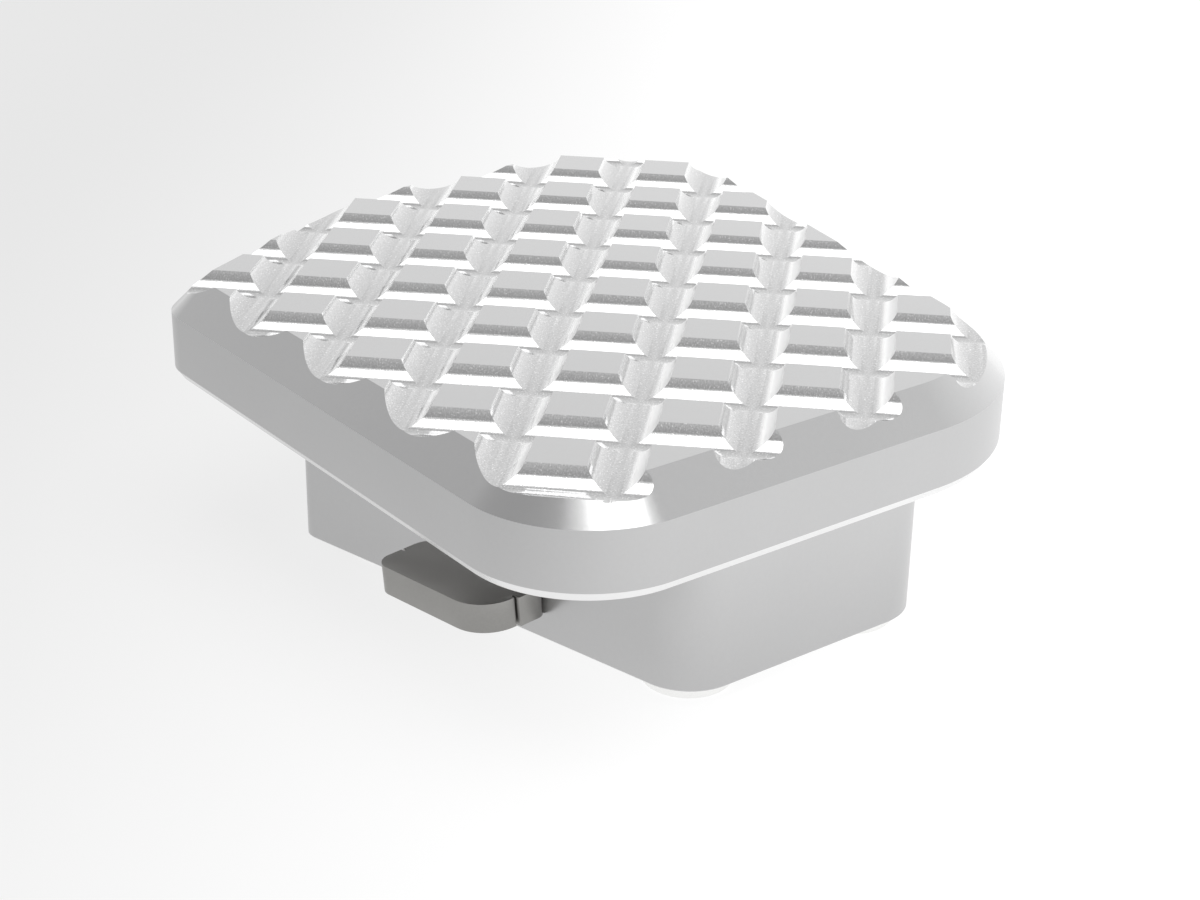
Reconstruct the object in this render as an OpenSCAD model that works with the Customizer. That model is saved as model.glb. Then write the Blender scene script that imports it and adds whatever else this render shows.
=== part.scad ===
/* [Foot plate] */
// Length of the foot plate, from its inner edge to its outer edge
plate_l = 65; // [60:0.5:80]
// Width of the foot plate along its outer edge, between sharp corners
plate_w = 47.6; // [44:0.2:60]
// Thickness of the foot plate
plate_t = 8; // [7.5:0.5:12]
// Angle of the front edge, which runs forward towards the inner side
front_slope = 11.5; // [0:0.5:16]
// Length of the cut across the inner rear corner, along the rear edge
cut_l = 11.5; // [7:0.5:14]
// Width of the cut across the inner rear corner, along the inner edge
cut_w = 22.6; // [14:0.2:26]
// Radius of the outer rear corner
outer_rear_r = 9.8; // [4:0.2:14]
// Radius of the outer front corner
outer_front_r = 16; // [5:0.5:20]
// Radius of the inner front corner
inner_front_r = 13.4; // [5:0.2:18]
// Radius where the inner edge meets the cut
cut_front_r = 8; // [4:0.5:12]
// Radius where the cut meets the rear edge
cut_rear_r = 4.5; // [3.5:0.5:8]
// Chamfer round the top of the foot plate
top_chamfer = 2.6; // [1:0.1:3.2]
// Chamfer round the bottom of the foot plate
bottom_chamfer = 0.5; // [0.2:0.1:1.5]

/* [Grip grooves] */
// Distance from one groove to the next
groove_pitch = 8; // [6:0.25:12]
// Radius of the ball cutter that runs the grooves
groove_r = 2.1; // [1.6:0.1:3]
// Depth of the grooves
groove_depth = 1.3; // [0.6:0.1:1.5]
// Angle of the grooves to the rear edge
groove_turn = 45; // [30:1:60]
// Shift of the grooves that run forward and out
groove_shift_a = 3.1; // [-6:0.1:6]
// Shift of the grooves that run forward and in
groove_shift_b = -2.7; // [-6:0.1:6]

/* [Clamp block] */
// Length of the block, from its open inner end to its outer face
block_l = 39.5; // [36:0.5:44]
// Width of the block at its outer face, between sharp corners
block_tip_w = 23.3; // [22:0.1:28]
// Angle by which each long side opens towards the inner end
block_taper = 12.7; // [8:0.1:14]
// Height of the block
block_h = 12; // [11:0.5:18]
// Distance from the plate's outer edge to the block's outer face
block_outer_gap = 3.6; // [2:0.1:6]
// Distance from the plate's rear edge to the block's middle line
block_mid = 26.15; // [24:0.05:30]
// Radius of the block's outer corners
block_tip_r = 4.5; // [4.3:0.1:6]
// Radius of the block's inner corners
block_end_r = 1.6; // [0.8:0.1:3]

/* [Pedal pocket] */
// Length of the pocket for the pedal's tip
pocket_l = 30; // [26:0.5:31]
// Width of the pocket
pocket_w = 20; // [16:0.5:21]
// Depth of the pocket below the foot plate
pocket_h = 6.7; // [5.5:0.1:7]
// Radius in the pocket's closed corners
pocket_r = 3; // [1.5:0.5:5]

/* [Clamp tongue] */
// Distance from the block's outer face to the middle of the tongue
tongue_mid = 18.9; // [17:0.1:21]
// Width of the tongue's head, along the block
tongue_w = 11.6; // [10:0.1:13]
// Distance that the head stands out of the block
tongue_out = 5.4; // [5:0.1:7]
// Angle of the head's outer side to the block
tongue_skew = 2.2; // [0:0.1:4]
// Thickness of the tongue
tongue_t = 2.5; // [2:0.1:3]
// Angle by which the head hangs down
tongue_tilt = 6; // [2:0.5:8]
// Radius of the head's outer corner that lies towards the plate's outer edge
tongue_big_r = 3.4; // [1.5:0.1:4]
// Radius of the head's other outer corner
tongue_small_r = 1.1; // [0.5:0.1:1.8]
// How much further the head reaches beside the block, towards the plate's outer edge
tongue_step = 0.25; // [0.05:0.05:0.5]
// Radius of that end, beside the block
tongue_step_r = 0.8; // [0.3:0.1:1.4]
// Radius of the other end, beside the block
tongue_root_r = 2; // [0.5:0.1:2.1]
// Distance of the relief slots from the block
slot_off = 2.6; // [2.4:0.1:2.8]
// Width of the relief slots
slot_w = 0.25; // [0.1:0.05:0.4]
// Depth of the relief slots
slot_depth = 0.4; // [0.2:0.05:1]
// Width of the neck that runs into the block
neck_w = 8; // [6:0.2:9]
// Length of the neck inside the block
neck_l = 14; // [13:0.5:18]

/* [Screws] */
// Diameter of the cap screws
screw_d = 4; // [3:0.5:4]
// Length of the cap screws under their heads
screw_l = 14; // [12:0.5:14.5]
// Diameter of the screw heads
head_d = 7; // [5.5:0.1:7]
// Height of the screw heads
head_h = 4; // [3:0.1:5]
// Distance that the heads stand out below the block
head_proud = 1.2; // [0.4:0.1:1.6]
// Bevel round the screw heads
head_bevel = 0.35; // [0.1:0.05:0.6]
// Size of the socket in the screw heads, across its flats
socket_af = 3; // [2:0.5:3.5]
// Depth of the socket in the screw heads
socket_depth = 2; // [1:0.1:2.2]
// Distance of the inner screws from the block's end and side
inner_screw_in = 5; // [4.5:0.1:5.2]
// Diameter of the grub screw under the tongue
grub_d = 4; // [3:0.5:5]
// Distance of the grub screw from the block's rear face
grub_in = 9.8; // [9.5:0.1:10.5]
// Size of the socket in the grub screw, across its flats
grub_af = 2; // [1.5:0.5:2.5]

/* [Clearances] */
// Room round a cap screw in the block
screw_room = 0.15; // [0.05:0.05:0.3]
// Room round a screw in its thread
thread_room = 0.05; // [0.02:0.01:0.1]
// Room round a screw head in its counterbore
head_room = 0.25; // [0.1:0.05:0.4]
// Room past the end of a screw in its blind hole
tip_room = 0.5; // [0.3:0.1:0.8]
// Room round the tongue in the block
tongue_room = 0.1; // [0.05:0.05:0.2]
// Depth of the grub screw's end inside the block
grub_recess = 0.2; // [0.1:0.1:0.5]

/* [Hidden] */
$fn = 96;
over = 1;  // how far a cutter runs past the face that it opens
skim = 0.003;  // how far a straight side lies inside the circles of its corners, so that they cross

// A point or vector of length one
function unit(v) = v / norm(v);

// Corner i of a closed outline, counted round it in either direction
function corner(pts, i) = pts[(i + len(pts)) % len(pts)];

// The way along the side that leaves corner i, and the way out of that side
function along(pts, i) = unit(corner(pts, i + 1) - corner(pts, i));
function outward(pts, i) = [along(pts, i).y, -along(pts, i).x];

// Half of the angle inside corner i
function half_angle(pts, i) = acos(along(pts, i) * -along(pts, i - 1)) / 2;

// The point inside corner i that lies the same distance from both its sides
function inside(pts, i, distance) =
    corner(pts, i) + unit(along(pts, i) - along(pts, i - 1)) * distance / sin(half_angle(pts, i));

// The outline of the foot plate, anticlockwise from its outer rear corner
plate_pts = [
    [plate_l, 0],
    [plate_l, plate_w],
    [0, plate_w + plate_l * tan(front_slope)],
    [0, cut_w],
    [cut_l, 0]
];
plate_radii = [outer_rear_r, outer_front_r, inner_front_r, cut_front_r, cut_rear_r];
plate_d = inside(plate_pts, 2, inner_front_r).y + inner_front_r;
middle = [plate_l / 2, plate_d / 2];

// The outline of the block, anticlockwise from its outer rear corner
block_x = plate_l - block_outer_gap;
block_end_w = block_tip_w + 2 * block_l * tan(block_taper);
block_pts = [
    [block_x, block_mid - block_tip_w / 2],
    [block_x, block_mid + block_tip_w / 2],
    [block_x - block_l, block_mid + block_end_w / 2],
    [block_x - block_l, block_mid - block_end_w / 2]
];
block_radii = [block_tip_r, block_tip_r, block_end_r, block_end_r];

// Heights above the lowest point of the screw heads
block_z = head_proud;
plate_z = block_z + block_h;
top_z = plate_z + plate_t;
seat_z = head_h;
floor_z = plate_z - pocket_h;

// The places of the cap screws, in the order of the block's corners
screw_in = [block_tip_r, block_tip_r, inner_screw_in, inner_screw_in];
function screw_at(i) = inside(block_pts, i, screw_in[i]);

// The tongue lies in a frame on the block's rear face: x runs along the face to its outer
// corner, y into the block, and its top meets the pocket's floor at the pocket's wall
rear_wall = (block_mid - pocket_w / 2 - block_pts[0].y + tongue_mid * tan(block_taper)) * cos(block_taper);
tongue_x = -tongue_mid / cos(block_taper);
tongue_top_z = floor_z - rear_wall * tan(tongue_tilt);
lean = tan(block_taper);
edge_r = slot_w / 2;

// Corner of the head on its left (-1) or right (1) side, at a distance out of the block, and
// the one on its outer side, which is turned by the skew
function head_corner(side, out, step) = [side * tongue_w / 2 + step - out * lean, -out];
function skewed_corner(side) =
    head_corner(side, tongue_out + (side * tongue_w / 2 - tongue_out * lean) * tan(tongue_skew), 0);

// Height of the grub screw's tip, just under the tongue
grub_tip_z = tongue_top_z - tongue_t / cos(tongue_tilt)
    + (grub_in - grub_d / 2) * tan(tongue_tilt) - thread_room;

// Closed outline whose corners are rounded
module rounded(pts, radii) {
    polygon([
        for (i = [0 : len(pts) - 1], side = [i - 1, i])
            inside(pts, i, radii[i]) + outward(pts, side) * (radii[i] - skim)
    ]);
    for (i = [0 : len(pts) - 1])
        translate(inside(pts, i, radii[i])) circle(r = radii[i]);
}

// Section of what a chamfer takes off, from the wall at x = 0 and the face at y = 0
module chamfer_section(depth) {
    polygon([[-depth - over, over], [over, over], [over, -depth - over]]);
}

// Cutter for a chamfer along every side and round every corner of an outline
module chamfer_cutter(pts, radii, depth) {
    for (i = [0 : len(pts) - 1]) {
        before = outward(pts, i - 1);
        way = outward(pts, i);
        first = inside(pts, i, radii[i]) + way * (radii[i] - skim);
        last = inside(pts, (i + 1) % len(pts), corner(radii, i + 1)) + way * (corner(radii, i + 1) - skim);
        translate(last + along(pts, i) * over)
            rotate([90, 0, atan2(way.y, way.x)])
                linear_extrude(norm(last - first) + 2 * over) chamfer_section(depth);
        translate(inside(pts, i, radii[i]))
            rotate(atan2(before.y, before.x))
                rotate_extrude(angle = 180 - 2 * half_angle(pts, i))
                    translate([radii[i], 0]) chamfer_section(depth);
    }
}

// One set of parallel round-bottomed grooves across the top of the foot plate
module groove_set(turn, shift) {
    reach = norm([plate_l, plate_d]) / 2;
    count = ceil(reach / groove_pitch);
    translate(middle)
        rotate(turn)
            for (k = [-count : count])
                if (abs(k * groove_pitch + shift) < reach)
                    translate([-reach - over, k * groove_pitch + shift, top_z - groove_depth + groove_r])
                        rotate([0, 90, 0]) cylinder(r = groove_r, h = 2 * (reach + over));
}

// Cap screw standing on its head, with its head's face at the origin
module cap_screw() {
    difference() {
        union() {
            cylinder(d1 = head_d - 2 * head_bevel, d2 = head_d, h = head_bevel);
            translate([0, 0, head_bevel]) cylinder(d = head_d, h = head_h - head_bevel);
            translate([0, 0, head_h]) cylinder(d = screw_d, h = screw_l - head_bevel);
            translate([0, 0, head_h + screw_l - head_bevel])
                cylinder(d1 = screw_d, d2 = screw_d - 2 * head_bevel, h = head_bevel);
        }
        translate([0, 0, -over])
            cylinder(d = socket_af / cos(30), h = socket_depth + over, $fn = 6);
    }
}

// Frame on the block's rear face, at the tongue's middle and top
module on_rear_face(z) {
    translate([block_pts[0].x, block_pts[0].y, z])
        rotate(block_taper)
            translate([tongue_x, 0, 0]) children();
}

// Neck of the tongue, or with room round it the slot that it passes through
module tongue_neck(room) {
    on_rear_face(tongue_top_z)
        rotate([tongue_tilt, 0, 0])
            translate([-neck_w / 2 - room, -slot_off + slot_w, -tongue_t - room])
                cube([neck_w + 2 * room, slot_off - slot_w + neck_l + room, tongue_t + 2 * room]);
}

// The part of an outline that lies between two distances out of the block
module between(near, far) {
    intersection() {
        children();
        translate([-tongue_w, -far]) square([2 * tongue_w, far - near]);
    }
}

// Outline of the tongue's head: two pads with a relief slot between them at each end
module head_outline() {
    outer = slot_off + slot_w / 2;
    inner = slot_off - slot_w / 2;
    between(outer, 2 * tongue_out)
        rounded(
            [skewed_corner(1), head_corner(1, 0, 0), head_corner(-1, 0, 0), skewed_corner(-1)],
            [tongue_big_r, edge_r, edge_r, tongue_small_r]
        );
    between(0, inner)
        rounded(
            [
                head_corner(1, tongue_out, tongue_step),
                head_corner(1, 0, tongue_step),
                head_corner(-1, 0, 0),
                head_corner(-1, tongue_out, 0)
            ],
            [edge_r, tongue_step_r, tongue_root_r, edge_r]
        );
    translate([-tongue_w / 2 + slot_depth - outer * lean, -slot_off - slot_w])
        square([tongue_w - 2 * slot_depth, 2 * slot_w]);
}

// Foot plate before its grooves and holes are cut: outline and chamfers
module plate_blank() {
    difference() {
        translate([0, 0, plate_z]) linear_extrude(plate_t) rounded(plate_pts, plate_radii);
        translate([0, 0, top_z]) chamfer_cutter(plate_pts, plate_radii, top_chamfer);
        translate([0, 0, plate_z]) mirror([0, 0, 1]) chamfer_cutter(plate_pts, plate_radii, bottom_chamfer);
    }
}

// Foot plate: machined grip grooves, chamfered edges and blind threaded holes
module foot_plate() {
    color([0.83, 0.83, 0.83])
    translate([-middle.x, -middle.y, 0])
    difference() {
        plate_blank();
        groove_set(groove_turn, groove_shift_a);
        groove_set(groove_turn - 90, groove_shift_b);
        for (i = [0 : 3])
            translate([screw_at(i).x, screw_at(i).y, plate_z - over])
                cylinder(d = screw_d + 2 * thread_room, h = seat_z + screw_l + tip_room - plate_z + over);
    }
}

// Clamp block: pocket for the pedal's tip, slot for the tongue, counterbored screw holes
module clamp_block() {
    pocket_x = block_pts[2].x;
    pocket_pts = [
        [pocket_x + pocket_l, block_mid - pocket_w / 2],
        [pocket_x + pocket_l, block_mid + pocket_w / 2],
        [pocket_x - pocket_r - over, block_mid + pocket_w / 2],
        [pocket_x - pocket_r - over, block_mid - pocket_w / 2]
    ];
    color([0.78, 0.78, 0.78])
    translate([-middle.x, -middle.y, 0])
    difference() {
        translate([0, 0, block_z]) linear_extrude(block_h) rounded(block_pts, block_radii);
        translate([0, 0, floor_z])
            linear_extrude(pocket_h + over) rounded(pocket_pts, [pocket_r, pocket_r, pocket_r / 2, pocket_r / 2]);
        tongue_neck(tongue_room);
        for (i = [0 : 3])
            translate([screw_at(i).x, screw_at(i).y, block_z - over]) {
                cylinder(d = screw_d + 2 * screw_room, h = block_h + 2 * over);
                cylinder(d = head_d + 2 * head_room, h = seat_z - block_z + over);
            }
        on_rear_face(block_z - over)
            translate([0, grub_in, 0])
                cylinder(d = grub_d + 2 * thread_room, h = grub_tip_z - block_z + over);
    }
}

// Clamp tongue: rounded head with a relief slot in each end, cut off square beside the block,
// on a flat neck
module clamp_tongue() {
    color([0.42, 0.41, 0.4])
    translate([-middle.x, -middle.y, 0]) {
        difference() {
            on_rear_face(tongue_top_z)
                rotate([tongue_tilt, 0, 0])
                    translate([0, 0, -tongue_t]) linear_extrude(tongue_t) head_outline();
            on_rear_face(tongue_top_z - 2 * tongue_t)
                translate([-tongue_w, -tongue_room, 0]) cube([2 * tongue_w, tongue_room + over, 3 * tongue_t]);
        }
        tongue_neck(0);
    }
}

// Cap screw in the block's corner i
module cap_screw_at(i) {
    color([0.9, 0.9, 0.9])
    translate([screw_at(i).x - middle.x, screw_at(i).y - middle.y, 0]) cap_screw();
}

// Grub screw that holds the tongue up against the pedal's tip
module grub_screw() {
    bottom_z = block_z + grub_recess;
    color([0.3, 0.3, 0.3])
    translate([-middle.x, -middle.y, 0])
    on_rear_face(bottom_z)
        translate([0, grub_in, 0])
            difference() {
                cylinder(d = grub_d, h = grub_tip_z - bottom_z);
                translate([0, 0, -over])
                    cylinder(d = grub_af / cos(30), h = grub_af / 2 + over, $fn = 6);
            }
}

foot_plate();
clamp_block();
clamp_tongue();
cap_screw_at(0);  // cap_screw_outer_rear
cap_screw_at(1);  // cap_screw_outer_front
cap_screw_at(2);  // cap_screw_inner_front
cap_screw_at(3);  // cap_screw_inner_rear
grub_screw();
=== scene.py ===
import math
import bpy
import bmesh
from mathutils import Matrix, Vector


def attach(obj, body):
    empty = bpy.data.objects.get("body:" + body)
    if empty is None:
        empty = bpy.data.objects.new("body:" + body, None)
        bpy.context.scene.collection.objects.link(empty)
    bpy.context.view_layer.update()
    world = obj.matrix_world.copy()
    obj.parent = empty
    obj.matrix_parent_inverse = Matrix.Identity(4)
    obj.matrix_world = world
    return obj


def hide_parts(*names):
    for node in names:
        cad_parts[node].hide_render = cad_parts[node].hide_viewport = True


# Brake pedal extension. Lengths are in millimetres and become metres where a mesh is made.
mm = 0.001
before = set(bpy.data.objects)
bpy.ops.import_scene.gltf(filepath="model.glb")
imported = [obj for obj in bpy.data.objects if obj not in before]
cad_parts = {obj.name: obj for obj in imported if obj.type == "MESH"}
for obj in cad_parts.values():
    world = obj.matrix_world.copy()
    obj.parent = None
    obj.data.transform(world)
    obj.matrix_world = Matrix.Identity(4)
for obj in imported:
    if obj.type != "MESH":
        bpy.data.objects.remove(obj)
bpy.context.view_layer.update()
print("frame loaded with", len(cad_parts), "CAD nodes")


# Node trees: one class for a socket with operators, one for the tree that makes nodes

class Sock:
    # a node's output; an expression with it adds Math nodes
    def __init__(self, net, socket):
        self.net = net
        self.socket = socket

    def maths(self, operation, first, second):
        return self.net.add("ShaderNodeMath", {"operation": operation}, {0: first, 1: second})

    def __add__(self, other):
        return self.maths("ADD", self, other)

    def __radd__(self, other):
        return self.maths("ADD", other, self)

    def __sub__(self, other):
        return self.maths("SUBTRACT", self, other)

    def __rsub__(self, other):
        return self.maths("SUBTRACT", other, self)

    def __mul__(self, other):
        return self.maths("MULTIPLY", self, other)

    def __rmul__(self, other):
        return self.maths("MULTIPLY", other, self)

    def __truediv__(self, other):
        return self.maths("DIVIDE", self, other)

    def __rtruediv__(self, other):
        return self.maths("DIVIDE", other, self)

    def __pow__(self, other):
        return self.maths("POWER", self, other)


class Net:
    # a node tree; add makes any node: its type, its settings, its sockets' values or links
    def __init__(self, tree):
        self.tree = tree

    def add(self, kind, settings=None, sockets=None, out=0):
        made = self.tree.nodes.new(kind)
        for name, value in (settings or {}).items():
            setattr(made, name, value)
        for name, value in (sockets or {}).items():
            if isinstance(value, Sock):
                self.tree.links.new(value.socket, made.inputs[name])
            else:
                made.inputs[name].default_value = value
        return Sock(self, made.outputs[out]) if len(made.outputs) else None

    def outputs(self, one):
        # all outputs of the node that this one belongs to
        return [Sock(self, socket) for socket in one.socket.node.outputs]

    def given(self):
        # the tree's own inputs, by name
        return {one.socket.name: one for one in self.outputs(self.add("NodeGroupInput"))}

    def close(self, geometry, material):
        # the end of a Geometry Nodes tree: real geometry with its material
        whole = self.add("GeometryNodeRealizeInstances", {}, {"Geometry": geometry})
        dressed = self.add("GeometryNodeSetMaterial", {}, {"Geometry": whole, "Material": material})
        self.add("NodeGroupOutput", {}, {"Geometry": dressed})

    def split(self, vector):
        return self.outputs(self.add("ShaderNodeSeparateXYZ", {}, {"Vector": vector}))

    def noise(self, where, size, detail):
        # noise whose features are about size millimetres across
        return self.add("ShaderNodeTexNoise", {},
                        {"Vector": where, "Scale": 1 / (size * mm), "Detail": detail})

    def blend(self, amount, first, second):
        # sockets 6 and 7 and output 2 are the Mix node's colours
        return self.add("ShaderNodeMix", {"data_type": "RGBA"},
                        {0: amount, 6: first, 7: second}, out=2)

    def bump(self, height, depth, under=None):
        # relief of depth millimetres, laid over another bump where one is given
        sockets = {"Height": height, "Strength": 1.0, "Distance": depth * mm}
        if under:
            sockets["Normal"] = under
        return self.add("ShaderNodeBump", {}, sockets)

    def surface(self, sockets):
        shader = self.add("ShaderNodeBsdfPrincipled", {}, sockets)
        self.add("ShaderNodeOutputMaterial", {}, {"Surface": shader})


def newMaterial(name):
    material = bpy.data.materials.new(name)
    material.use_nodes = True
    material.node_tree.nodes.clear()
    return material, Net(material.node_tree)


# Meshes

over = 1.0  # how far a cutter reaches past the face that it opens


def unit(v):
    return v / v.length


def cornerArc(points, radii, i):
    # centre, first direction and sweep of the arc that rounds corner i of an anticlockwise outline
    here, before, after = (Vector(points[k % len(points)]) for k in (i, i - 1, i + 1))
    toBefore, toAfter = unit(before - here), unit(after - here)
    half = math.acos(max(-1, min(1, toBefore.dot(toAfter)))) / 2
    centre = here + unit(toBefore + toAfter) * radii[i] / math.sin(half)
    start = math.atan2(toBefore.x, -toBefore.y)  # outward from the side that arrives here
    return centre, start, math.pi - 2 * half


def arcPoints(points, radii, i, step=6, inset=0):
    # points along the arc that rounds corner i, at most step degrees apart
    centre, start, sweep = cornerArc(points, radii, i)
    count = max(2, math.ceil(math.degrees(sweep) / step))
    angles = [start + sweep * k / count for k in range(count + 1)]
    return [centre + Vector((math.cos(a), math.sin(a))) * (radii[i] - inset) for a in angles]


def roundedLoop(points, radii, inset, step):
    # points round a closed outline with round corners, moved inwards by inset
    return [q for i in range(len(points)) for q in arcPoints(points, radii, i, step, inset)]


def addObject(name, data):
    made = bpy.data.objects.new(name, data)
    bpy.context.scene.collection.objects.link(made)
    return made


def loft(name, rings):
    # closed solid through rings of equal count, each a list of 3-D points, lowest first
    mesh = bpy.data.meshes.new(name)
    work = bmesh.new()
    rows = [[work.verts.new(Vector(p) * mm) for p in ring] for ring in rings]
    for low, high in zip(rows, rows[1:]):
        for k in range(len(low)):
            n = (k + 1) % len(low)
            work.faces.new((low[k], low[n], high[n], high[k]))
    work.faces.new(list(reversed(rows[0])))
    work.faces.new(rows[-1])
    bmesh.ops.remove_doubles(work, verts=work.verts, dist=1e-8)
    bmesh.ops.recalc_face_normals(work, faces=work.faces)
    work.to_mesh(mesh)
    work.free()
    return addObject(name, mesh)


def flatRing(loop, z):
    return [(p.x, p.y, z) for p in loop]


def circleLoop(centre, radius, count):
    return [Vector((centre[0] + radius * math.cos(2 * math.pi * k / count),
                    centre[1] + radius * math.sin(2 * math.pi * k / count))) for k in range(count)]


def lathe(name, centre, steps, count=64):
    # turned solid through (radius, height) steps, lowest first
    return loft(name, [flatRing(circleLoop(centre, r, count), z) for r, z in steps])


def settle(thing, name):
    # a plain object with the evaluated mesh of thing, which goes away with its modifiers
    bpy.context.view_layer.update()
    evaluated = thing.evaluated_get(bpy.context.evaluated_depsgraph_get())
    mesh = bpy.data.meshes.new_from_object(evaluated)
    mesh.name = name
    made = addObject(name, mesh)
    bpy.data.objects.remove(thing)
    return made


def newTree(name, inputs):
    # a Geometry Nodes tree with these inputs besides the geometry that comes in
    tree = bpy.data.node_groups.new(name, "GeometryNodeTree")
    tree.interface.new_socket("Geometry", in_out="INPUT", socket_type="NodeSocketGeometry")
    for label, kind in inputs.items():
        tree.interface.new_socket(label, in_out="INPUT", socket_type="NodeSocket" + kind)
    tree.interface.new_socket("Geometry", in_out="OUTPUT", socket_type="NodeSocketGeometry")
    return tree, Net(tree)


def runTree(thing, tree, values, name):
    # runs a Geometry Nodes tree on thing with its inputs set, and keeps the result as a plain mesh
    modifier = thing.modifiers.new(tree.name, "NODES")
    modifier.node_group = tree
    for item in tree.interface.items_tree:
        if item.item_type == "SOCKET" and item.in_out == "INPUT" and item.name in values:
            modifier[item.identifier] = values[item.name]
    return settle(thing, name)


def cutWith(thing, cutters):
    # takes the cutters out of thing, one after the other
    for cutter in cutters:
        cut = thing.modifiers.new("cut", "BOOLEAN")
        cut.operation = "DIFFERENCE"
        cut.solver = "EXACT"
        cut.object = cutter
    made = settle(thing, thing.name + "Cut")
    for cutter in cutters:
        bpy.data.objects.remove(cutter)
    return made


def finishEdges(thing, width, angle, name):
    # small rounding of the edges sharper than angle, then smooth shading between them
    if width:
        bevel = thing.modifiers.new("edges", "BEVEL")
        bevel.width = width * mm
        bevel.segments = 2
        bevel.limit_method = "ANGLE"
        bevel.angle_limit = math.radians(angle)
        bevel.use_clamp_overlap = True
        thing = settle(thing, name)
    thing.name = name
    thing.data.name = name
    for face in thing.data.polygons:
        face.use_smooth = True
    thing.data.set_sharp_from_angle(angle=math.radians(angle))
    return thing


def place(thing, matrix):
    # moves the mesh itself, so that the object stays at the origin
    matrix = matrix.copy()
    matrix.translation *= mm
    thing.data.transform(matrix)
    return thing


def dress(thing, material, nodes):
    # material, body and the CAD nodes that this piece stands for
    thing.data.materials.clear()
    thing.data.materials.append(material)
    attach(thing, "root")
    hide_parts(*nodes)
    print(thing.name, "ready:", len(thing.data.polygons), "faces")


# Foot plate

plateShape = {
    "length": 65.0, "width": 47.6, "frontSlope": 11.5, "cutLength": 11.5, "cutWidth": 22.6,
    "radii": (9.8, 16.0, 13.4, 8.0, 4.5), "bottom": 13.2, "top": 21.2,
    "topChamfer": 2.6, "bottomInset": 0.5, "bottomRise": 0.75, "arcStep": 1.5, "smoothAngle": 20,
    # how markPlate tells faces apart: distance from a groove's wall, upward part of the normal,
    # angle from the rear side
    "nearVertex": 0.012, "nearFace": 0.03, "facesUp": 0.1, "sloping": (0.4, 0.9),
    "rearTurn": (4, 20),
    # how finely faces are cut, and the angles at which a groove's wall gets a painted highlight
    "grooveFine": 1.0, "chamferFine": 0.63, "topFine": 0.5,
    "paintedHighlightUp": (18, 34), "paintedHighlightDown": (56, 70), "paintedHighlightDownShare": 0.6, "crossing": (10, 18),
}
grooveShape = {
    "Pitch": 8.0, "Radius": 2.1, "Depth": 1.3, "Turn": 45.0,
    "Shift Out": 3.1, "Shift In": -2.7, "Reach": 46.0, "Segments": 160,
}


def plateOutline():
    p = plateShape
    points = [(p["length"], 0), (p["length"], p["width"]),
              (0, p["width"] + p["length"] * math.tan(math.radians(p["frontSlope"]))),
              (0, p["cutWidth"]), (p["cutLength"], 0)]
    centre = cornerArc(points, p["radii"], 2)[0]
    middle = Vector((p["length"] / 2, (centre.y + p["radii"][2]) / 2))
    return [Vector(q) - middle for q in points], middle


def grooveTree(material):
    # Geometry Nodes: two crossing rows of rods, cut out of the plate that comes in
    inputs = dict.fromkeys([*grooveShape, "Top"], "Float")
    inputs["Segments"] = "Int"
    tree, net = newTree("gripGrooves", inputs)
    value = net.given()
    height = value["Top"] - value["Depth"] + value["Radius"]
    steps = net.add("ShaderNodeMath", {"operation": "FLOOR"}, {0: value["Reach"] / value["Pitch"]})
    rod = net.add("GeometryNodeMeshCylinder", {"fill_type": "NGON"},
                  {"Vertices": value["Segments"], "Radius": value["Radius"],
                   "Depth": value["Reach"] * 2})
    lying = net.add("GeometryNodeTransform", {}, {"Geometry": rod, "Rotation": (0, math.pi / 2, 0)})
    rows = []
    for shift, turn in ((value["Shift Out"], value["Turn"]),
                        (value["Shift In"], value["Turn"] - 90)):
        start = net.add("ShaderNodeCombineXYZ", {},
                        {"Y": shift - steps * value["Pitch"], "Z": height})
        stride = net.add("ShaderNodeCombineXYZ", {}, {"Y": value["Pitch"]})
        line = net.add("GeometryNodeMeshLine", {"mode": "OFFSET"},
                       {"Count": steps * 2 + 1, "Start Location": start, "Offset": stride})
        rods = net.add("GeometryNodeInstanceOnPoints", {}, {"Points": line, "Instance": lying})
        angle = net.add("ShaderNodeCombineXYZ", {}, {"Z": turn * (math.pi / 180)})
        turned = net.add("GeometryNodeTransform", {}, {"Geometry": rods, "Rotation": angle})
        rows.append(net.add("GeometryNodeRealizeInstances", {}, {"Geometry": turned}))
    plate = value["Geometry"]
    for row in rows:
        plate = net.add("GeometryNodeMeshBoolean", {"operation": "DIFFERENCE", "solver": "EXACT"},
                        {"Mesh 1": plate, "Mesh 2": row})
    net.close(plate, material)
    return tree


def grooveSection(point, way):
    # where the point lies in the groove that runs this way: across it, and below its rod's middle
    g = grooveShape
    turn, shift = (g["Turn"], g["Shift Out"]) if way > 0 else (g["Turn"] - 90, g["Shift In"])
    x, y, z = (v / mm for v in point)
    across = y * math.cos(math.radians(turn)) - x * math.sin(math.radians(turn)) - shift
    across -= g["Pitch"] * round(across / g["Pitch"])
    return across, plateShape["top"] - g["Depth"] + g["Radius"] - z


def grooveClimb(point, way):
    # angle up the groove's wall, 0 at the bottom
    return math.degrees(math.atan2(*grooveSection(point, way)))


def grooveAt(point, tolerance):
    # 1 in a groove that runs forward and out, -1 in one that runs forward and in, 0 outside
    for way in (1, -1):
        if abs(math.hypot(*grooveSection(point, way)) - grooveShape["Radius"]) < tolerance:
            return way
    return 0


def smooth(value, low, high):
    # soft step from 0 at low to 1 at high
    t = max(0.0, min(1.0, (value - low) / (high - low)))
    return t * t * (3 - 2 * t)


def paintFlankHighlight(climb, way):
    # how much painted highlight the groove's wall gets at this angle up it
    p = plateShape
    if way < 0:
        down = p["paintedHighlightDownShare"] * smooth(-climb, *p["paintedHighlightDown"])
        return max(smooth(climb, *p["paintedHighlightUp"]), down)
    return smooth(-climb, *p["crossing"])


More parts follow.
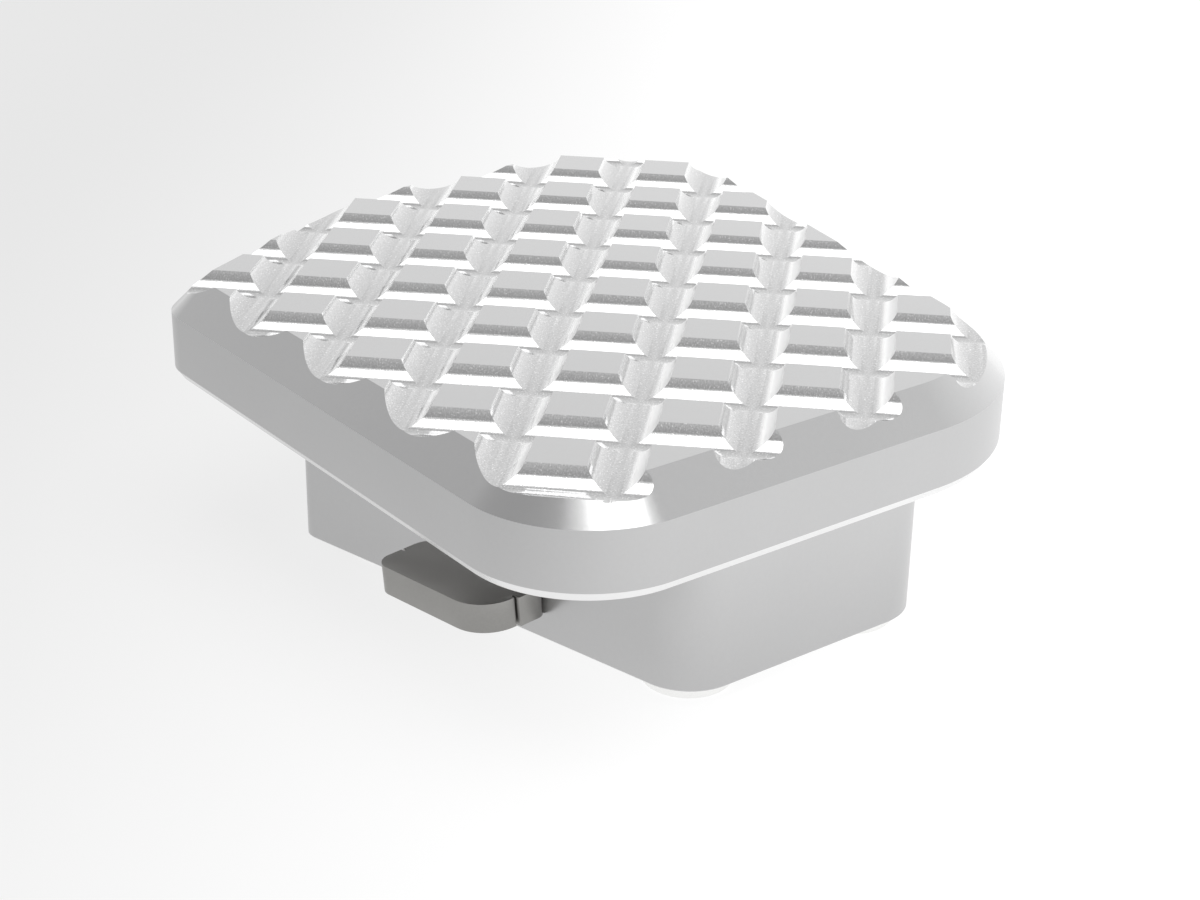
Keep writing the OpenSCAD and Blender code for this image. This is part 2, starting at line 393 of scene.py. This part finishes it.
def markPlate(mesh):
    # attributes that the metal reads: a painted highlight on the lower chamfer, how finely a face
    # is cut, which way a groove runs, and at each corner of a face how much painted highlight the
    # groove's wall gets
    p = plateShape
    marks = {name: [] for name in ("brightEdge", "fineCut", "grooveWay")}
    paintedFlankHighlights = []
    for face in mesh.polygons:
        inside = all(grooveAt(mesh.vertices[i].co, p["nearVertex"]) for i in face.vertices)
        way = grooveAt(face.center, p["nearFace"]) if inside and face.normal.z > p["facesUp"] else 0
        flat = abs(face.normal.z)
        chamfer = way == 0 and p["sloping"][0] < flat < p["sloping"][1]
        # the lower chamfer gets a painted highlight, but for the straight rear side
        fromRear = abs(math.degrees(math.atan2(face.normal.y, face.normal.x)) + 90)
        lower = chamfer and face.normal.z < 0
        marks["brightEdge"].append(smooth(fromRear, *p["rearTurn"]) if lower else 0.0)
        if way:
            fine = p["grooveFine"]
        elif chamfer:
            fine = p["chamferFine"]
        else:
            fine = p["topFine"] if flat > p["sloping"][1] else 0.0
        marks["fineCut"].append(fine)
        marks["grooveWay"].append(float(way))
        for i in face.vertices:
            # painted highlight on the groove's wall, by its angle up the wall
            paintedFlankHighlights.append(paintFlankHighlight(grooveClimb(mesh.vertices[i].co, way), way) if way else 0.0)
    for name, values in marks.items():
        mesh.attributes.new(name, "FLOAT", "FACE").data.foreach_set("value", values)
    mesh.attributes.new("flank", "FLOAT", "CORNER").data.foreach_set("value", paintedFlankHighlights)


def makePlate(material):
    p = plateShape
    points = plateOutline()[0]
    steps = ((p["bottomInset"], p["bottom"]), (0, p["bottom"] + p["bottomRise"]),
             (0, p["top"] - p["topChamfer"]), (p["topChamfer"], p["top"]))
    blank = loft("plateBlank", [flatRing(roundedLoop(points, p["radii"], inset, p["arcStep"]), z)
                                for inset, z in steps])
    # lengths in metres, the angle and the count as they are
    values = {name: value if name in ("Turn", "Segments") else value * mm
              for name, value in grooveShape.items()}
    values["Top"] = p["top"] * mm
    grooved = runTree(blank, grooveTree(material), values, "grooved")
    plate = finishEdges(grooved, 0, p["smoothAngle"], "footPlate")
    markPlate(plate.data)
    return plate


# Clamp block, whose outline shares the plate's coordinates

blockShape = {
    "length": 39.5, "tipWidth": 23.3, "taper": 12.7, "outerGap": 3.6, "middle": 26.15,
    "radii": (4.5, 4.5, 1.6, 1.6), "bottom": 1.2, "top": 13.2, "edge": 0.2, "arcStep": 2.5,
    "pocketLength": 30.0, "pocketWidth": 20.0, "pocketHeight": 6.7, "pocketStep": 5,
    "pocketRadii": (3.0, 3.0, 1.0, 1.0), "pocketOver": 8.0,
    "screwInset": (4.5, 4.5, 5.0, 5.0), "seat": 4.0, "headHole": 3.75, "screwHole": 2.15,
    "grubHole": 2.05, "holeEdge": 0.2, "softEdge": 0.08, "smoothAngle": 30,
}


def blockOutline():
    b = blockShape
    x = plateShape["length"] - b["outerGap"]
    tip = b["tipWidth"] / 2
    end = tip + b["length"] * math.tan(math.radians(b["taper"]))
    points = [(x, b["middle"] - tip), (x, b["middle"] + tip),
              (x - b["length"], b["middle"] + end), (x - b["length"], b["middle"] - end)]
    middle = plateOutline()[1]
    return [Vector(q) - middle for q in points]


def pocketSides():
    # the pocket's rear and front walls
    middle = blockShape["middle"] - plateOutline()[1].y
    return [middle + side * blockShape["pocketWidth"] / 2 for side in (-1, 1)]


def screwPlaces():
    points = blockOutline()
    return [cornerArc(points, blockShape["screwInset"], i)[0] for i in range(4)]


def makeBlock():
    b, t = blockShape, tongueShape
    points = blockOutline()
    steps = ((b["edge"], b["bottom"]), (0, b["bottom"] + b["edge"]), (0, b["top"]))
    body = loft("blockBody", [flatRing(roundedLoop(points, b["radii"], inset, b["arcStep"]), z)
                              for inset, z in steps])
    above = b["top"] + over
    # the pedal's pocket, open to the inner side and closed above by the plate
    left = points[2].x
    low, high = pocketSides()
    pocket = [(left + b["pocketLength"], low), (left + b["pocketLength"], high),
              (left - b["pocketOver"], high), (left - b["pocketOver"], low)]
    loop = roundedLoop(pocket, b["pocketRadii"], 0, b["pocketStep"])
    pocketRings = [flatRing(loop, z) for z in (b["top"] - b["pocketHeight"], above)]
    cutters = [loft("pocket", pocketRings)]
    # stepped screw holes
    wide, rim = b["headHole"], b["holeEdge"]
    for centre in screwPlaces():
        cutters.append(lathe("screwHole", centre, [
            (wide + 2 * rim, b["bottom"] - rim), (wide, b["bottom"] + rim), (wide, b["seat"]),
            (b["screwHole"], b["seat"]), (b["screwHole"], above)]))
    # the tongue's slot, and the grub screw's hole under it
    room = t["room"]
    half, end = t["neckWidth"] / 2 + room, t["neckLength"] + room
    start = -t["slotOver"]
    slot = [Vector(q) for q in ((-half, start), (half, start), (half, end), (-half, end))]
    slotRings = [flatRing(slot, z) for z in (-t["thickness"] - room, room)]
    cutters.append(place(loft("tongueSlot", slotRings), tongueFrame(True)))
    hole = lathe("grubHole", (0, t["grubIn"]), [(b["grubHole"], b["bottom"] - over),
                                                (b["grubHole"], t["grubTip"])])
    cutters.append(place(hole, tongueFrame(False)))
    return finishEdges(cutWith(body, cutters), b["softEdge"], b["smoothAngle"], "clampBlock")


# Clamp tongue

tongueShape = {
    "middle": 18.9, "width": 11.6, "out": 5.4, "skew": 2.2, "thickness": 2.5, "tilt": 6.0,
    "bigRadius": 3.4, "smallRadius": 1.1, "step": 0.25, "stepRadius": 0.8, "rootRadius": 2.0,
    "slotOff": 2.6, "slotWidth": 0.16, "slotDepth": 0.4, "neckWidth": 8.0, "neckLength": 14.0,
    "room": 0.1, "sharp": 0.1, "trim": 0.02, "slotOver": 3.0, "grubIn": 9.8, "grubTip": 4.149,
    "softEdge": 0.06, "smoothAngle": 30, "upperFace": 0.9,
}


def tongueFrame(tilted):
    # frame on the block's rear face: x along it, y into it; tilted, z = 0 is the tongue's top
    b, t = blockShape, tongueShape
    turn, tilt = math.radians(b["taper"]), math.radians(t["tilt"])
    corner = blockOutline()[0]
    wall = (pocketSides()[0] - corner.y + t["middle"] * math.tan(turn)) * math.cos(turn)
    top = b["top"] - b["pocketHeight"] - wall * math.tan(tilt)
    onFace = (Matrix.Translation((corner.x, corner.y, top if tilted else 0))
              @ Matrix.Rotation(turn, 4, "Z")
              @ Matrix.Translation((-t["middle"] / math.cos(turn), 0, 0)))
    return onFace @ Matrix.Rotation(tilt, 4, "X") if tilted else onFace


def tongueOutline():
    # anticlockwise, from the rounded outer corner that lies towards the plate's outer edge
    t = tongueShape
    lean = math.tan(math.radians(blockShape["taper"]))
    skew = math.tan(math.radians(t["skew"]))
    half, neck, room, sharp = t["width"] / 2, t["neckWidth"] / 2, t["room"], t["sharp"]

    def corner(side, out, step=0.0):
        return Vector((side * half + step - out * lean, -out))

    def skewed(side):
        return corner(side, t["out"] + (side * half - t["out"] * lean) * skew)

    def trimmed(arc):
        return [q for q in arc if q.y < -room - t["trim"]]

    def besideBlock(i, sign):
        # where the root's arc i meets the side of the head that faces the block
        centre, radius = cornerArc(root, rootRadii, i)[0], rootRadii[i]
        return centre.x + sign * math.sqrt(radius ** 2 - (radius - room) ** 2)

    pad = [skewed(1), corner(1, 0), corner(-1, 0), skewed(-1)]
    padRadii = (t["bigRadius"], sharp, sharp, t["smallRadius"])
    root = [corner(1, t["out"], t["step"]), corner(1, 0, t["step"]),
            corner(-1, 0), corner(-1, t["out"])]
    rootRadii = (sharp, t["stepRadius"], t["rootRadius"], sharp)
    outer, inner = t["slotOff"] + t["slotWidth"] / 2, t["slotOff"] - t["slotWidth"] / 2
    leftIn = -half + t["slotDepth"] - outer * lean
    rightIn = leftIn + t["width"] - 2 * t["slotDepth"]
    loop = arcPoints(pad, padRadii, 0)
    loop += [corner(1, outer), Vector((rightIn, -outer))]
    loop += [Vector((rightIn, -inner)), corner(1, inner, t["step"])]
    loop += trimmed(arcPoints(root, rootRadii, 1)) + [Vector((besideBlock(1, 1), -room))]
    loop += [Vector((neck, -room)), Vector((neck, t["neckLength"]))]
    loop += [Vector((-neck, t["neckLength"])), Vector((-neck, -room))]
    loop += [Vector((besideBlock(2, -1), -room))] + trimmed(arcPoints(root, rootRadii, 2))
    loop += [corner(-1, inner), Vector((leftIn, -inner))]
    loop += [Vector((leftIn, -outer)), corner(-1, outer)]
    return loop + arcPoints(pad, padRadii, 3)


def makeTongue():
    t = tongueShape
    loop = tongueOutline()
    tongue = loft("tongueBlank", [flatRing(loop, z) for z in (-t["thickness"], 0)])
    # the head's side beside the block is upright, though the head tilts
    back = math.tan(math.radians(t["tilt"]))
    for vertex in tongue.data.vertices:
        if abs(vertex.co.y + t["room"] * mm) < 0.001 * mm and vertex.co.z < 0:
            vertex.co.y += vertex.co.z * back
    place(tongue, tongueFrame(True))
    tongue = finishEdges(tongue, t["softEdge"], t["smoothAngle"], "clampTongue")
    # the steel reads this: painted light, the upper face gets a paler colour
    topLightMask = [1.0 if face.normal.z > t["upperFace"] else 0.0 for face in tongue.data.polygons]
    tongue.data.attributes.new("wornTop", "FLOAT", "FACE").data.foreach_set("value", topLightMask)
    return tongue


# Cap screws and grub screw

screwShape = {
    "headRadius": 3.5, "headHeight": 4.0, "headEdge": 0.35, "shankRadius": 2.0, "tip": 18.0,
    "socketFlats": 3.0, "socketDepth": 2.0, "socketEdge": 0.18, "softEdge": 0.05,
    "smoothAngle": 35, "sides": 72, "rimStep": 15, "turnEach": 0.7,
}
grubShape = {
    "radius": 2.0, "bottom": 1.4, "edge": 0.3, "tipEdge": 0.1, "socketFlats": 2.0,
    "socketDepth": 1.0, "socketEdge": 0.12, "softEdge": 0.03, "smoothAngle": 35,
}


def hexSocket(centre, start, shape):
    # cutters for a six-sided socket that opens downwards at height start, and for its lead-in
    depth, edge = shape["socketDepth"], shape["socketEdge"]
    toCorner = shape["socketFlats"] / 2 / math.cos(math.pi / 6)
    corners = circleLoop(centre, toCorner, 6)
    leadIn = [(toCorner + edge + over / 2, start - over / 2), (toCorner, start + edge)]
    return [loft("socket", [flatRing(corners, start - over), flatRing(corners, start + depth)]),
            lathe("leadIn", centre, leadIn, count=48)]


def screwTree(material):
    # Geometry Nodes: one screw on each point that comes in
    tree, net = newTree("capScrews", {"Screw": "Object", "Turn Each": "Float"})
    value = net.given()
    screw = net.add("GeometryNodeObjectInfo", {"transform_space": "ORIGINAL"},
                    {"Object": value["Screw"]}, out="Geometry")
    index = net.add("GeometryNodeInputIndex")
    turn = net.add("ShaderNodeCombineXYZ", {}, {"Z": index * value["Turn Each"]})
    screws = net.add("GeometryNodeInstanceOnPoints", {},
                     {"Points": value["Geometry"], "Instance": screw, "Rotation": turn})
    net.close(screws, material)
    return tree


def makeScrews(material):
    s = screwShape
    edge = s["headEdge"]
    angles = [math.radians(angle) for angle in range(0, 91, s["rimStep"])]
    rim = [(s["headRadius"] - edge + edge * math.sin(a), edge - edge * math.cos(a))
           for a in angles]
    steps = rim + [(s["headRadius"], s["headHeight"]), (s["shankRadius"], s["headHeight"]),
                   (s["shankRadius"], s["tip"] - edge), (s["shankRadius"] - edge, s["tip"])]
    blank = lathe("screwBlank", (0, 0), steps, s["sides"])
    one = cutWith(blank, hexSocket((0, 0), 0, s))
    one = finishEdges(one, s["softEdge"], s["smoothAngle"], "oneScrew")
    mesh = bpy.data.meshes.new("screwPlaces")
    mesh.from_pydata([(p.x * mm, p.y * mm, 0) for p in screwPlaces()], [], [])
    places = addObject("screwPlaces", mesh)
    screws = runTree(places, screwTree(material),
                     {"Screw": one, "Turn Each": s["turnEach"]}, "capScrews")
    bpy.data.objects.remove(one)
    return finishEdges(screws, 0, s["smoothAngle"], "capScrews")


def makeGrub():
    g, t = grubShape, tongueShape
    steps = [(g["radius"] - g["edge"], g["bottom"]), (g["radius"], g["bottom"] + g["edge"]),
             (g["radius"], t["grubTip"] - g["tipEdge"]), (g["radius"] - g["tipEdge"], t["grubTip"])]
    centre = (0, t["grubIn"])
    grub = cutWith(lathe("grubBlank", centre, steps), hexSocket(centre, g["bottom"], g))
    place(grub, tongueFrame(False))
    return finishEdges(grub, g["softEdge"], g["smoothAngle"], "grubScrew")


# Materials. Sizes of grain and marks are in millimetres.

metalLook = {
    # the walls' colour, darker than the cut faces': partly a blasted finish, partly painted shade
    # on the upright walls
    "shadedWallDarker": (0.475, 0.475, 0.477), "shadedWallLighter": (0.525, 0.525, 0.527),
    "cutDarker": (0.575, 0.575, 0.577), "cutLighter": (0.625, 0.625, 0.627), "cutRange": (0.2, 0.4),
    "markDark": (0.52, 0.52, 0.522), "markLight": (0.68, 0.68, 0.682), "markRange": (0.3, 0.7),
    # painted glints: bright spots of colour in the grooves
    "paintedGlint": (0.90, 0.90, 0.90), "paintedGlintRange": (0.63, 0.70),
    # painted highlights: the edge colour on the lower chamfer and the near-white colour on the
    # groove walls, each with less metal
    "edge": (0.84, 0.84, 0.84), "edgeDull": 0.8, "edgeRough": 0.3,
    "flank": (0.97, 0.97, 0.97), "paintedHighlightDull": 0.95,
    "rough": 0.30, "fine": 0.05, "spread": 0.06, "spreadEnd": 1.2,
    "grain": 0.30, "grainHeight": 0.0008, "grainShare": 0.5, "broad": 14.0, "broadShare": 0.6,
    "markLength": 0.11, "markWidth": 0.14, "markHeight": 0.0016,
}
steelLook = {
    # top: painted light, the paler colour of the tongue's upper face
    "darker": (0.287, 0.282, 0.273), "lighter": (0.350, 0.346, 0.334), "top": (0.465, 0.458, 0.443),
    "rough": 0.34, "spread": 0.14, "grain": 0.22, "grainHeight": 0.0012, "grainShare": 0.7,
    "broad": 4.0, "broadShare": 0.8,
}
screwLook = {
    # top: painted light on a marked upper face; the screws carry no such mark
    "darker": (0.86, 0.86, 0.85), "lighter": (0.94, 0.94, 0.93), "top": (0.94, 0.94, 0.93),
    "rough": 0.22, "spread": 0.1, "grain": 0.15, "grainHeight": 0.0006, "grainShare": 0.7,
    "broad": 4.0, "broadShare": 0.8,
}


def rgba(colour):
    return (*colour, 1.0)


def ramp(value, outside, inside):
    # smooth step from 0 at outside to 1 at inside
    return value.net.add("ShaderNodeMapRange", {"interpolation_type": "SMOOTHSTEP"},
                         {"Value": value, "From Min": outside, "From Max": inside})


def mixedTone(look, grain, broad):
    # 0.5 with a little of both noises
    return 0.5 + (grain - 0.5) * look["grainShare"] + (broad - 0.5) * look["broadShare"]


def aluminium():
    # bead-blasted walls whose darker colour is partly painted shade, finely cut tops and chamfers,
    # tool marks and painted glints in the grooves, painted highlights on the groove walls and the
    # lower chamfer
    m = metalLook
    material, net = newMaterial("machinedAluminium")
    where = net.add("ShaderNodeTexCoord", {}, {}, out="Object")
    x, y, z = net.split(where)
    grain = net.noise(where, m["grain"], detail=4.0)
    broad = net.noise(where, m["broad"], detail=2.0)
    way, fine, edge, flank = (net.add("ShaderNodeAttribute", {"attribute_name": name}, out="Fac")
                              for name in ("grooveWay", "fineCut", "brightEdge", "flank"))
    inGroove = net.add("ShaderNodeMath", {"operation": "ABSOLUTE"}, {0: way})
    # noise that is laid along each groove: grooveWay is 1 or -1 there
    half = math.sqrt(0.5)
    alongGroove = (x + way * y) * (half / (m["markLength"] * mm))
    acrossGroove = (y - way * x) * (half / (m["markWidth"] * mm))
    spot = net.add("ShaderNodeCombineXYZ", {}, {"X": alongGroove, "Y": acrossGroove,
                                                "Z": z * (1 / (m["markWidth"] * mm))})
    raw = net.add("ShaderNodeTexNoise", {}, {"Vector": spot, "Scale": 1.0, "Detail": 2.0,
                                             "Roughness": 0.6})
    # painted glints where the noise is highest
    paintedGlint = ramp(raw, *m["paintedGlintRange"])
    low, high = m["markRange"]
    marks = net.add("ShaderNodeMapRange", {}, {"Value": raw, "From Min": low, "From Max": high})
    tone = mixedTone(m, grain, broad)
    # the upright walls: a blasted finish plus painted shade
    wall = net.blend(tone, rgba(m["shadedWallDarker"]), rgba(m["shadedWallLighter"]))
    cut = net.blend(tone, rgba(m["cutDarker"]), rgba(m["cutLighter"]))
    speck = net.blend(marks, rgba(m["markDark"]), rgba(m["markLight"]))
    shade = net.blend(ramp(fine, *m["cutRange"]), wall, cut)
    shade = net.blend(inGroove, shade, net.blend(paintedGlint, speck, rgba(m["paintedGlint"])))
    # painted highlights: near white on the groove walls and pale on the lower chamfer
    shade = net.blend(flank, shade, rgba(m["flank"]))
    shade = net.blend(edge, shade, rgba(m["edge"]))
    rough = m["rough"] - fine * (m["rough"] - m["fine"]) + m["edgeRough"] * edge
    rough = rough + (grain - 0.5) * m["spread"] * (m["spreadEnd"] - fine)
    ground = net.bump(grain, m["grainHeight"])
    bump = net.bump(marks * inGroove, m["markHeight"], under=ground)
    metallic = 1 - m["edgeDull"] * edge - m["paintedHighlightDull"] * flank
    net.surface({"Base Color": shade, "Metallic": metallic, "Roughness": rough, "Normal": bump})
    return material


def plainSteel(name, look):
    # fine grain with a broad, faint change of tone, and painted light: a paler colour on a face
    # marked as an upper face
    material, net = newMaterial(name)
    where = net.add("ShaderNodeTexCoord", {}, {}, out="Object")
    grain = net.noise(where, look["grain"], detail=3.0)
    broad = net.noise(where, look["broad"], detail=2.0)
    topLightMask = net.add("ShaderNodeAttribute", {"attribute_name": "wornTop"}, out="Fac")
    tone = mixedTone(look, grain, broad)
    shade = net.blend(tone, rgba(look["darker"]), rgba(look["lighter"]))
    # painted light: the paler colour on the marked upper face
    shade = net.blend(topLightMask, shade, rgba(look["top"]))
    rough = look["rough"] + (grain - 0.5) * look["spread"]
    bump = net.bump(grain, look["grainHeight"])
    net.surface({"Base Color": shade, "Metallic": 1.0, "Roughness": rough, "Normal": bump})
    return material


# Studio: floor, light and camera

studio = {
    "floorSize": 4.0, "floorTone": 0.12, "floorSpread": 0.01, "floorGrain": 150.0,
    "floorRough": 0.9, "glowLeft": 0.62, "glowRight": 1.10, "glowReach": 0.09,
    "room": 1.15, "slope": (-0.071, 0.413, -0.534), "fill": (0.25, -0.25, 0.0), "lowest": 0.49,
    "boxLevel": 0.05, "boxTurn": 18.0, "boxMiddle": (0.148, 0.064), "boxHalf": (0.647, 0.487),
    "rimEdge": (1.22, 1.12), "rimPower": 1.25, "boxEdge": (0.99, 0.90), "boxPower": 3.4,
}
view = {
    "place": (132.386, -102.540, 82.984), "right": (0.6053, 0.7959, 0.0154),
    "up": (-0.3399, 0.2409, 0.9091), "back": (0.7198, -0.5554, 0.4164), "lens": 66.474,
    "sensor": 36.0, "near": 0.01, "far": 20.0,
}


def makeLight():
    world = bpy.data.worlds.new("studio")
    bpy.context.scene.world = world
    world.use_nodes = True
    world.node_tree.nodes.clear()
    net = Net(world.node_tree)
    way = net.add("ShaderNodeTexCoord", {}, {}, out="Generated")

    def towards(direction):
        return net.add("ShaderNodeVectorMath", {"operation": "DOT_PRODUCT"},
                       {0: way, 1: direction}, out="Value")

    def atLeast(value, lowest):
        return net.add("ShaderNodeMath", {"operation": "MAXIMUM"}, {0: value, 1: lowest})

    # a room that darkens upwards and towards the rear, with a fill from the camera's side
    room = atLeast(studio["room"] + towards(studio["slope"]), studio["lowest"])
    room = room + atLeast(towards(studio["fill"]), 0)
    # an oval softbox overhead, laid out on the plane at height 1
    turn = math.radians(studio["boxTurn"])
    height = atLeast(towards((0, 0, 1)), studio["boxLevel"])
    offsets = []
    axes = zip((turn, turn + math.pi / 2), studio["boxMiddle"], studio["boxHalf"])
    for angle, middle, half in axes:
        along = towards((math.cos(angle), math.sin(angle), 0)) / height
        offsets.append((along - middle) / half)
    out = (offsets[0] * offsets[0] + offsets[1] * offsets[1]) ** 0.5
    light = room + ramp(out, *studio["rimEdge"]) * (studio["rimPower"] - room)
    light = light + ramp(out, *studio["boxEdge"]) * (studio["boxPower"] - light)
    glow = net.add("ShaderNodeBackground", {}, {"Strength": light})
    net.add("ShaderNodeOutputWorld", {}, {"Surface": glow})


def floorFinish():
    # pale sheet that is lit from below, less towards the left of the picture
    material, net = newMaterial("studioFloor")
    where = net.add("ShaderNodeTexCoord", {}, {}, out="Object")
    x, y = net.split(where)[:2]
    reach = studio["glowReach"]
    side = ramp((x + y) * math.sqrt(0.5), -reach, reach)
    side = studio["glowLeft"] + side * (studio["glowRight"] - studio["glowLeft"])
    grain = net.noise(where, studio["floorGrain"], detail=2.0)
    tone = studio["floorTone"] + (grain - 0.5) * studio["floorSpread"]
    glow = net.add("ShaderNodeCombineColor", {}, {"Red": side, "Green": side, "Blue": side})
    shade = net.add("ShaderNodeCombineColor", {}, {"Red": tone, "Green": tone, "Blue": tone})
    net.surface({"Base Color": shade, "Roughness": studio["floorRough"],
                 "Emission Color": glow, "Emission Strength": 1.0})
    return material


def makeFloor():
    half = studio["floorSize"] / 2
    mesh = bpy.data.meshes.new("studioFloor")
    corners = [(-half, -half, 0), (half, -half, 0), (half, half, 0), (-half, half, 0)]
    mesh.from_pydata(corners, [], [(0, 1, 2, 3)])
    mesh.materials.append(floorFinish())
    addObject("studioFloor", mesh)


def makeCamera():
    data = bpy.data.cameras.new("photoView")
    data.sensor_width = view["sensor"]
    data.lens = view["lens"]
    data.clip_start = view["near"]
    data.clip_end = view["far"]
    camera = addObject("photoView", data)
    turn = Matrix((view["right"], view["up"], view["back"])).transposed()
    spot = Matrix.Translation(Vector(view["place"]) * mm)
    camera.matrix_world = spot @ turn.to_quaternion().to_matrix().to_4x4()
    bpy.context.scene.camera = camera


bpy.context.scene.view_settings.view_transform = "Standard"
makeCamera()
makeLight()
makeFloor()
print("studio ready")

metal = aluminium()
steel = plainSteel("darkSteel", steelLook)
screwSteel = plainSteel("screwSteel", screwLook)
dress(makePlate(metal), metal, ["foot_plate"])
dress(makeBlock(), metal, ["clamp_block"])
dress(makeTongue(), steel, ["clamp_tongue"])
dress(makeGrub(), steel, ["grub_screw"])
dress(makeScrews(screwSteel), screwSteel, [
    "cap_screw_outer_rear", "cap_screw_outer_front",
    "cap_screw_inner_front", "cap_screw_inner_rear"])
